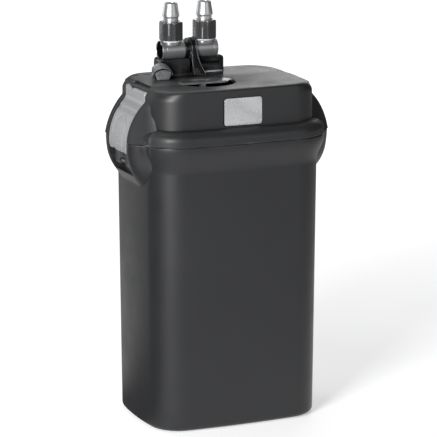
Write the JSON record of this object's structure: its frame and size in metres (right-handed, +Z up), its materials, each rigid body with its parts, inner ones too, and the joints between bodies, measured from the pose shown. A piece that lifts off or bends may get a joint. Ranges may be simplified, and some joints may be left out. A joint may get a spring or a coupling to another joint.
{
  "type": "canister filter",
  "caption": "Tall rounded aquarium canister filter with a clamped motor head, magnetic-drive pump, hand primer and a lift-out valve with two hose tails.",
  "frame": {"origin": "middle of the outline, on the surface that the filter stands on", "axes": "+Z up, +X towards the right-hand clamp, -Y towards the front with the badge plate"},
  "size_m": [0.247, 0.177, 0.48],
  "materials": {
    "shell_black": "satin charcoal black moulded plastic",
    "head_black": "satin charcoal black moulded plastic, fine grain on the deck",
    "valve_black": "semi-gloss black plastic",
    "barrel_grey": "satin dark grey plastic",
    "clamp_grey": "satin light grey plastic",
    "tail_grey": "glossy metallic grey plastic",
    "nut_grey": "semi-gloss dark grey plastic",
    "badge_silver": "satin silver plate, bare",
    "rubber": "black rubber",
    "steel": "stainless steel",
    "inner_grey": "matt grey plastic",
    "white_plastic": "natural white plastic",
    "ceramic": "fired ceramic",
    "foam": "open-cell filter foam",
    "floss": "white polishing floss",
    "copper": "enamelled copper winding",
    "magnet": "ferrite magnet"
  },
  "bodies": {
    "canister": {"canister_shell": "shell_black", "rubber_feet": "rubber", "clamp_pins": "steel", "foam_frame": "inner_grey", "foam_pads": "foam", "media_baskets": "inner_grey", "basket_lid": "inner_grey", "coarse_pads": "foam", "ceramic_rings": "ceramic", "polishing_pad": "floss"},
    "motor_head": {"head_cover": "head_black", "head_base": "inner_grey", "head_screws": "steel", "lid_seal": "rubber", "badge_plate": "badge_silver", "stator_core": "steel", "stator_coils": "copper", "motor_case": "inner_grey", "rotor_shaft": "ceramic", "shaft_bushings": "rubber", "impeller_cover": "inner_grey", "cord_gland": "rubber", "primer_cylinder": "white_plastic"},
    "impeller": {"rotor_magnet": "magnet", "impeller_blades": "white_plastic"},
    "primer": {"primer_handle": "head_black", "primer_rod": "steel", "primer_piston": "white_plastic", "piston_seal": "rubber"},
    "left_clamp_body": {"left_clamp": "clamp_grey"},
    "right_clamp_body": {"right_clamp": "clamp_grey"},
    "valve_unit": {"valve_housing": "valve_black", "left_barrel": "barrel_grey", "right_barrel": "barrel_grey", "port_seals": "rubber", "nozzle_washers": "white_plastic", "left_hose_tail": "tail_grey", "right_hose_tail": "tail_grey", "latch_pin": "steel"},
    "lever": {"flow_lever": "valve_black", "valve_rotors": "inner_grey"},
    "latch": {"valve_latch": "tail_grey"},
    "left_nut": {"left_lock_nut": "nut_grey"},
    "right_nut": {"right_lock_nut": "nut_grey"}
  },
  "joints": [
    {"name": "head_lift", "type": "slide", "parent": "canister", "child": "motor_head", "axis": [0, 0, 1], "range_m": [0, 0.008]},
    {"name": "left_clamp_swing", "type": "hinge", "parent": "canister", "child": "left_clamp_body", "pos_m": [-0.1135, 0, 0.307], "axis": [0, -1, 0], "range_deg": [0, 100]},
    {"name": "right_clamp_swing", "type": "hinge", "parent": "canister", "child": "right_clamp_body", "pos_m": [0.1135, 0, 0.307], "axis": [0, 1, 0], "range_deg": [0, 100]},
    {"name": "impeller_spin", "type": "hinge", "parent": "motor_head", "child": "impeller", "pos_m": [0.052, -0.008, 0.3], "axis": [0, 0, 1], "continuous": true},
    {"name": "primer_stroke", "type": "slide", "parent": "motor_head", "child": "primer", "axis": [0, 0, 1], "range_m": [0, 0.03]},
    {"name": "valve_lift", "type": "slide", "parent": "motor_head", "child": "valve_unit", "axis": [0, 0, 1], "range_m": [0, 0.01]},
    {"name": "latch_press", "type": "hinge", "parent": "valve_unit", "child": "latch", "pos_m": [-0.063, 0.0148, 0.4021], "axis": [-1, 0, 0], "range_deg": [0, 12]},
    {"name": "lever_swing", "type": "hinge", "parent": "valve_unit", "child": "lever", "pos_m": [-0.0205, 0.031, 0.4258], "axis": [-1, 0, 0], "range_deg": [0, 90]},
    {"name": "left_nut_turn", "type": "hinge", "parent": "valve_unit", "child": "left_nut", "pos_m": [-0.044, 0.031, 0.446], "axis": [0, 0, 1], "continuous": true},
    {"name": "right_nut_turn", "type": "hinge", "parent": "valve_unit", "child": "right_nut", "pos_m": [-0.0025, 0.031, 0.446], "axis": [0, 0, 1], "continuous": true}
  ],
  "couplings": [
    {"joint": "left_clamp_swing", "follows": "head_lift", "rad_per_m": 218.16},
    {"joint": "right_clamp_swing", "follows": "head_lift", "rad_per_m": 218.16}
  ]
}
